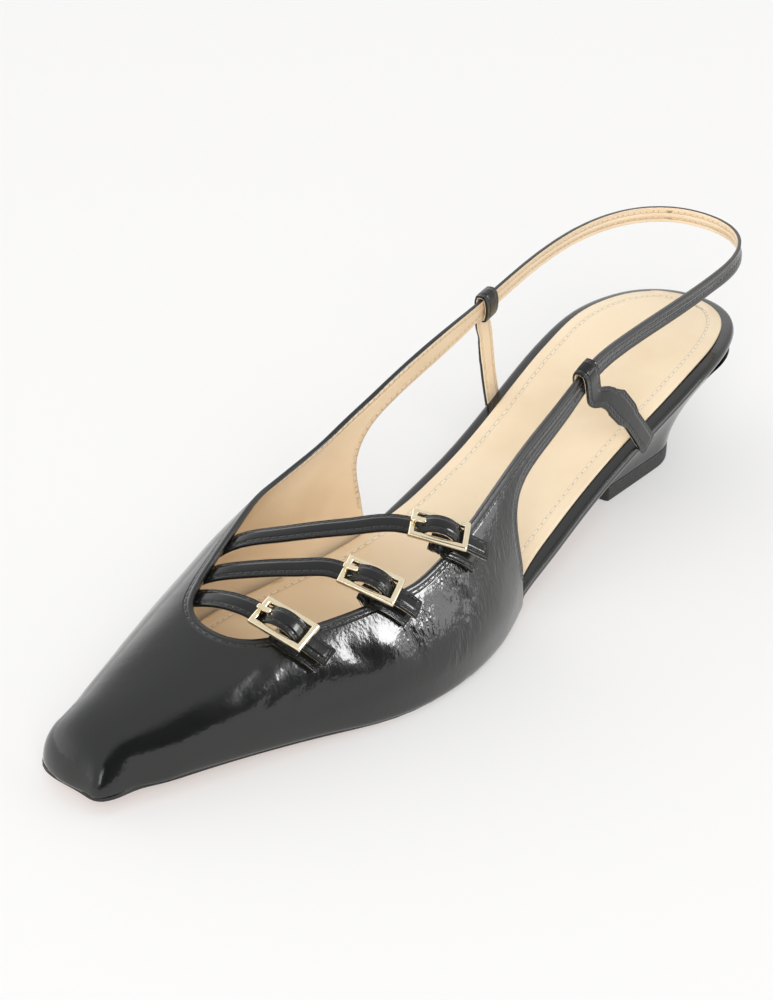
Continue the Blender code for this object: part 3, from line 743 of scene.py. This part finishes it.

# %% [markdown]
# The leather puckers where the straps pull on it. The main folds are pressed into the outside one by one:
# each is a line in the shoe's own millimetres, with a depth and a width, and a negative depth makes a
# ridge. The fine crinkle round them is left to the material, in the places listed second.

# %% Folds and crinkle
FOLDS = [((99, 13, 19), (87, 14.5, 25), 0.24, 1.6), ((96, 15.5, 18), (85, 17, 23.5), -0.12, 1.4),
         ((94, 17, 16.5), (83, 19, 22), 0.18, 1.5), ((89, 19.5, 15), (79, 22, 20.5), 0.12, 1.6),
         ((70, 23, 24), (62, 28, 18), 0.25, 2.2), ((62, 25, 25), (55, 30, 18), -0.25, 2.5),
         ((53, 29, 25), (50, 33, 14), 0.22, 2.0), ((36, 29, 31), (30, 33, 19), 0.2, 1.6),
         ((33, 30, 30), (27, 33, 18), -0.15, 1.5), ((30, 31, 29), (39, 35, 10), 0.2, 1.5),
         ((146, -8, 10), (58, 30, 17), 0.8, 5.0), ((128, -19, 13.5), (131, 4, 12.5), -0.3, 3.5),
         ((125, -3, 14), (135, 1.5, 4), -0.4, 2.4)]
CRINKLE = [((34, 29, 30), 6, 1.0), ((30, 31, 26), 6, 1.0), ((31, 33, 21), 6, 1.0), ((35, 34, 18), 5, 0.9),
           ((38, 35, 13), 5, 0.7), ((62, 27, 22), 9, 0.12), ((72, 23, 21), 7, 0.12),
           ((80, 21, 20), 6, 0.18), ((90, 17, 20), 6, 0.18), ((48, 31, 22), 8, 0.7),
           ((22, 31, 25), 6, 0.6), ((55, 31, 17), 7, 0.4),
           ((14, 30, 32), 7, 0.7), ((4, 28, 38), 7, 0.6), ((-6, 25, 43), 8, 0.5),
           ((22, -30, 26), 10, 0.4), ((45, -33, 17), 12, 0.3), ((12, -28, 33), 8, 0.4)]
CRINKLE_ELSEWHERE = 0.03


def to_foot(points):
    """Directions from places on the upper to the middle of the foot."""
    front = np.clip((points[:, 0] + 0.011) / 0.03, 0.0, 1.0)
    middle = np.stack([np.clip(points[:, 0], -0.091, 0.104), 0 * front - 0.006,
                       points[:, 2] * (1 - front) + 0.010 * front], -1)
    way = middle - points
    return way / np.linalg.norm(way, axis=1, keepdims=True)


spots = places(upper)
press = np.zeros(len(spots))
for a, b, depth, width in FOLDS:
    a, b = np.array(a) * MM, np.array(b) * MM
    t = np.clip((spots - a) @ (b - a) / ((b - a) @ (b - a)), 0, 1)
    away = np.linalg.norm(spots - (a + t[:, None] * (b - a)), axis=1)
    fade = np.clip(1.5 * np.sin(np.pi * t), 0, 1)
    press += depth * MM * fade * np.exp(-(away / (width * MM)) ** 2)
outward = np.where((directions(upper) * to_foot(spots)).sum(1) > 0, -1.0, 1.0)
spots -= directions(upper) * (outward * press * np.clip(far / 0.004, 0, 1))[:, None]
put(upper, spots)
amount = np.full(len(spots), CRINKLE_ELSEWHERE)
for at, radius, strength in CRINKLE:
    gap = np.linalg.norm(spots - np.array(at) * MM, axis=1) / (radius * MM)
    amount = np.maximum(amount, strength * np.exp(-gap ** 2))
write(upper, "crinkle", amount)
print("deepest fold mm:", round(press.max() / MM, 2), "crinkled corners:", int((amount > 0.3).sum()))

# %% [markdown]
# The faces that look into the shoe get the lining. Whether a face looks in is told by the direction from
# it to the middle of the foot; cut edges, which look neither way, stay black.


# %% Lining faces
def of_faces(piece, what):
    """Centres or normals of the faces of a mesh as an array."""
    flat = np.empty(len(piece.data.polygons) * 3)
    piece.data.polygons.foreach_get(what, flat)
    return flat.reshape(-1, 3)


upper.data.materials.append(black_leather)
upper.data.materials.append(lining)
looks_in = (of_faces(upper, "normal") * to_foot(of_faces(upper, "center"))).sum(1) > 0.45
upper.data.polygons.foreach_set("material_index", looks_in.astype(np.int32))
upper.data.update()
print("lining faces:", int(looks_in.sum()))

# %% [markdown]
# ## Straps
# The straps, the short straps sewn under the buckles and the side straps are flat bands. Each copy is a
# row of four-cornered rings, so walking from one end cap to the other gives the middle line, and from
# that the place across, along and through the band for stitching and colour.


# %% Rings of a band
def rings_of(piece):
    """Four-cornered rings of a band, from the end where the walk gets farthest."""
    form = bmesh.new()
    form.from_mesh(piece.data)
    best = []
    for end in [f for f in form.faces if all(len(v.link_edges) == 3 for v in f.verts)]:
        ring = list(end.verts)
        seen = set(ring)
        rings = [[v.co.copy() for v in ring]]
        while True:
            ahead = []
            for v in ring:
                ahead += [e.other_vert(v) for e in v.link_edges if e.other_vert(v) not in seen]
            if len(ahead) != 4:
                break
            seen.update(ahead)
            rings.append([v.co.copy() for v in ahead])
            ring = ahead
        best = max(best, rings, key=len)
    form.free()
    best = np.array(best)
    onward = best[-1].mean(0) - best[-2].mean(0)
    onward /= np.linalg.norm(onward)
    beyond = ((places(piece) - best[-1].mean(0)) @ onward)
    near = np.linalg.norm(places(piece) - best[-1].mean(0), axis=1) < 0.006
    left = beyond[near].max()
    if left > 0.0005:
        best = np.concatenate([best, best[-1:] + onward * left])
    return best


def bevel(piece, width, segments, degrees):
    """Round the sharp edges of a copy."""
    pick(piece)
    soft = piece.modifiers.new("round", "BEVEL")
    soft.width = width
    soft.segments = segments
    soft.limit_method = "ANGLE"
    soft.angle_limit = math.radians(degrees)
    bpy.ops.object.modifier_apply(modifier=soft.name)


def band(node, name, stuff, crown, round_edge):
    """A smooth band, with each corner's place across, along and through it stored."""
    piece = copy_of(node, name)
    rings = rings_of(piece)
    line = rings.mean(1)
    sides = [rings[:, 1] - rings[:, 0], rings[:, 3] - rings[:, 0]]
    wide = max(sides, key=lambda s: np.linalg.norm(s))
    half = np.linalg.norm(wide, axis=1) / 2
    across = wide / (2 * half[:, None])
    ahead = np.gradient(line, axis=0)
    flat = np.cross(ahead, across)
    flat /= np.linalg.norm(flat, axis=1, keepdims=True)
    core = np.stack([line[:, 0], 0 * half - 0.006, 0 * half + 0.010], -1)
    if ((line - core) * flat).sum() < 0:
        flat = -flat
    bevel(piece, round_edge, 2, 50)
    subdivide(piece, 2)
    length = lengths(line)
    fine_run = np.arange(0, length[-1], 0.0003)

    def between(rows):
        return np.stack([np.interp(fine_run, length, rows[:, k]) for k in range(3)], -1)

    mid = between(line)
    spots = places(piece)
    near = nearest(spots, mid)[0]
    off = spots - mid[near]
    side = (off * between(across)[near]).sum(1)
    deep = (off * between(flat)[near]).sum(1)
    reach = np.interp(fine_run[near], length, half)
    lift = crown * np.clip(1 - (side / reach) ** 2, 0, 1) * (deep > 0)
    put(piece, spots + between(flat)[near] * lift[:, None])
    to_end = np.minimum(fine_run[near], length[-1] - fine_run[near])
    far = reach - np.abs(side)
    write(piece, "edge_far", np.minimum(far, to_end))
    write(piece, "edge_run", np.where(to_end < far, side, fine_run[near]))
    write(piece, "deep", deep)
    piece.data.materials.append(stuff)
    print(name, "rings", len(rings), "width", round(2 * half.mean() / MM, 2),
          "faces", len(piece.data.polygons))
    return piece, line


def slide(piece, onto, end, shift, reach=0.011):
    """Swing one end of a band sideways and keep its height over a surface."""
    ground = BVHTree.FromObject(onto, bpy.context.evaluated_depsgraph_get())
    spots = places(piece)
    share = np.clip(1 - np.linalg.norm(spots - end, axis=1) / reach, 0, 1)
    moved = []
    for spot, part in zip(spots, share):
        here, up, _, _ = ground.find_nearest(Vector(spot))
        rise = (Vector(spot) - here).dot(up)
        there, up, _, _ = ground.find_nearest(Vector(spot + shift * part))
        moved.append(there + up * rise)
    put(piece, np.array(moved))


def ease_out(line, points, top=0.047, rounds=80):
    """Shifts that take the kinks out of a hanging strap below the loop at its top."""
    eased = line.copy()
    loose = np.clip((top - line[:, 2]) / 0.006, 0, 1)[1:-1, None]
    for _ in range(rounds):
        eased[1:-1] += loose * 0.5 * ((eased[:-2] + eased[2:]) / 2 - eased[1:-1])
    close, at = dense(line)
    where = at[nearest(points, close)[0]]
    return np.stack([np.interp(where, lengths(line), (eased - line)[:, k]) for k in range(3)], -1)


# %% [markdown]
# Each long strap is slightly crowned and lies over a short one, whose lower end is swung half way under
# its tip. The side straps are slimmed with the band they hold, and hang without kinks below their loops.

# %% Straps, bases and side straps
BASE_SWING = 0.5
for k in (1, 2, 3):
    _, strap_line = band(f"strap_{k}", f"strap_{k}_leather", strap_leather, 0.0002, 0.0003)
    base, base_line = band(f"strap_base_{k}", f"base_{k}_leather", strap_leather, 0.0, 0.0002)
    tip = max(strap_line[0], strap_line[-1], key=lambda p: p[1])
    low_end = max(base_line[0], base_line[-1], key=lambda p: p[1])
    slide(base, upper, low_end, (tip - low_end) * BASE_SWING)
for side_name in ("outer", "inner"):
    node = f"side_strap_{side_name}"
    strap, line = band(node, f"{node}_leather", strap_leather, 0.0001, 0.0003)
    spots, line = slim(places(strap)), slim(line)
    put(strap, spots + ease_out(line, spots))

# %% [markdown]
# ## Buckles
# The frames are cast with flat bars and small rounded edges, and the prong is a short bent pin. A
# bevel is all they need: it gives the thin bright lines that make metal read as metal.

# %% Buckles and prongs
FULLER = 0.00015
for k in (1, 2, 3):
    for node, width in ((f"buckle_{k}", 0.0004), (f"prong_{k}", 0.00025)):
        metal = copy_of(node, f"{node}_gold")
        bevel(metal, width, 3, 35)
        put(metal, places(metal) + directions(metal) * FULLER)
        bpy.ops.object.shade_smooth_by_angle(angle=math.radians(40))
        metal.data.materials.append(pale_gold)
        print(metal.name, len(metal.data.polygons), "faces")

# %% [markdown]
# ## Foot bed, sole and heel
# The sock is a thin beige sheet with a stitched line inside its edge. From the waist back it stops a
# little short of the board under it, so its edge is drawn in there.

# %% Sock
SOCK_INSET = 0.0017


def from_waist(x):
    """Nought under the foot's ball, one from the waist back."""
    share = np.clip((0.012 - x) / 0.03, 0, 1)
    return share * share * (3 - 2 * share)


sock = copy_of("sock", "sock_sheet")
outline = sharp_edges(sock, 50)
crease(sock, outline, 0.6)
corners = places(sock)
on_edge = {v for e in outline for v in sock.data.edges[e].vertices}
back = min(corners[v, 0] for v in on_edge)
start = max((v for v in on_edge if corners[v, 0] < back + 0.004), key=lambda v: corners[v, 2])
sock_line = follow(sock, outline, start)
subdivide(sock, 2)
far, run = along_lines(places(sock), [sock_line])
write(sock, "edge_far", far)
write(sock, "edge_run", run)
spots = places(sock)
centre = np.stack([np.clip(spots[:, 0], -0.085, 0.05), 0 * far - 0.004], -1)
inside = centre - spots[:, :2]
inside /= np.linalg.norm(inside, axis=1, keepdims=True)
spots[:, :2] += inside * (SOCK_INSET * from_waist(spots[:, 0]) * np.clip(1 - far / 0.008, 0, 1))[:, None]
put(sock, spots)
sock.data.materials.append(sock_leather)
print("sock:", len(sock.data.polygons), "faces, edge of", len(sock_line), "points")

# %% [markdown]
# Under the sock lies the board, which is covered in black leather and stands out a little from the waist
# back, then the thin outsole with its black edge. The heel is a low block covered in the same leather,
# with a rubber tip.

# %% Board, outsole, heel and tip
BOARD_OUT = 0.0013
SOLE_THINNED = 0.5
LOOKS_DOWN = -0.6
BELOW = [("insole_board", "black_leather", black_leather, 0.0008, 0.0002),
         ("outsole", "tan_sole", tan_sole, 0.0004, -0.0003),
         ("heel", "black_leather", black_leather, 0.0006, 0.0),
         ("heel_tip", "black_rubber", rubber, 0.0003, 0.0)]
for node, slot, stuff, round_edge, grow in BELOW:
    piece = copy_of(node, f"{node}_dressed")
    bevel(piece, round_edge, 2, 45)
    subdivide(piece, 1)
    push = directions(piece) * grow
    if node == "insole_board":
        push[:, :2] += directions(piece)[:, :2] * (BOARD_OUT * from_waist(places(piece)[:, 0]))[:, None]
    spots = places(piece) + push
    if node == "outsole":
        spots = places(piece) + push * (1, 1, 0)
        bottom = spots[directions(piece)[:, 2] < LOOKS_DOWN]
        level = bottom[nearest(spots * (1, 1, 0), bottom * (1, 1, 0))[0], 2]
        spots[:, 2] -= (spots[:, 2] - level) * SOLE_THINNED * under_vamp(spots[:, 0])
    put(piece, toe_corner(spots))
    write(piece, "edge_far", np.ones(len(piece.data.vertices)))
    piece.data.materials.append(stuff)
    if node == "outsole":
        piece.data.materials.append(black_edge)
        for face in piece.data.polygons:
            face.material_index = int(face.normal.z > LOOKS_DOWN)
    print(piece.name, len(piece.data.polygons), "faces")
